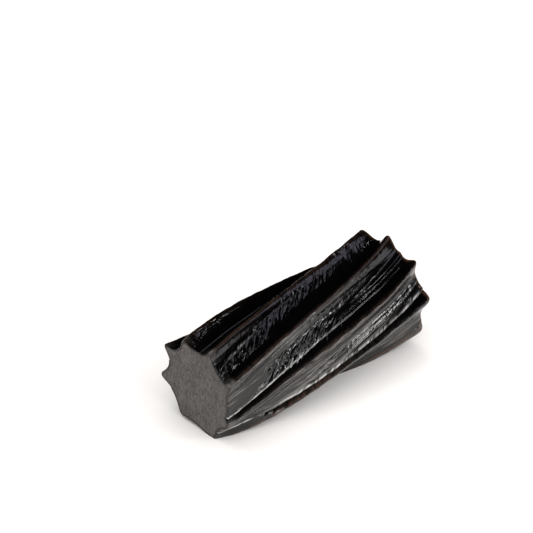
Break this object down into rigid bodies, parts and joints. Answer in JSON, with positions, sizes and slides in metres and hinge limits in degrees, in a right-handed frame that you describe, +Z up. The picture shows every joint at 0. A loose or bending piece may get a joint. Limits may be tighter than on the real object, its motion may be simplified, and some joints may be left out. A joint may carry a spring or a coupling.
{
  "type": "black licorice piece",
  "caption": "Short bar of twisted black licorice with pointed fins screwing along it, cut flat at both ends and lying on its side.",
  "frame": {"origin": "on the resting surface, under the middle of the piece's box", "axes": "+Z up; X along the piece, from the near cut at -X to the far cut at +X, where the fins stand higher; -Y towards the front"},
  "size_m": [0.0448, 0.0202, 0.0178],
  "materials": {
    "black_licorice": "glossy near-black candy skin, brown where it is thin at the crests, dull dark grey on the two cut faces"
  },
  "bodies": {
    "root": {"licorice_piece": "black_licorice"}
  },
  "joints": []
}
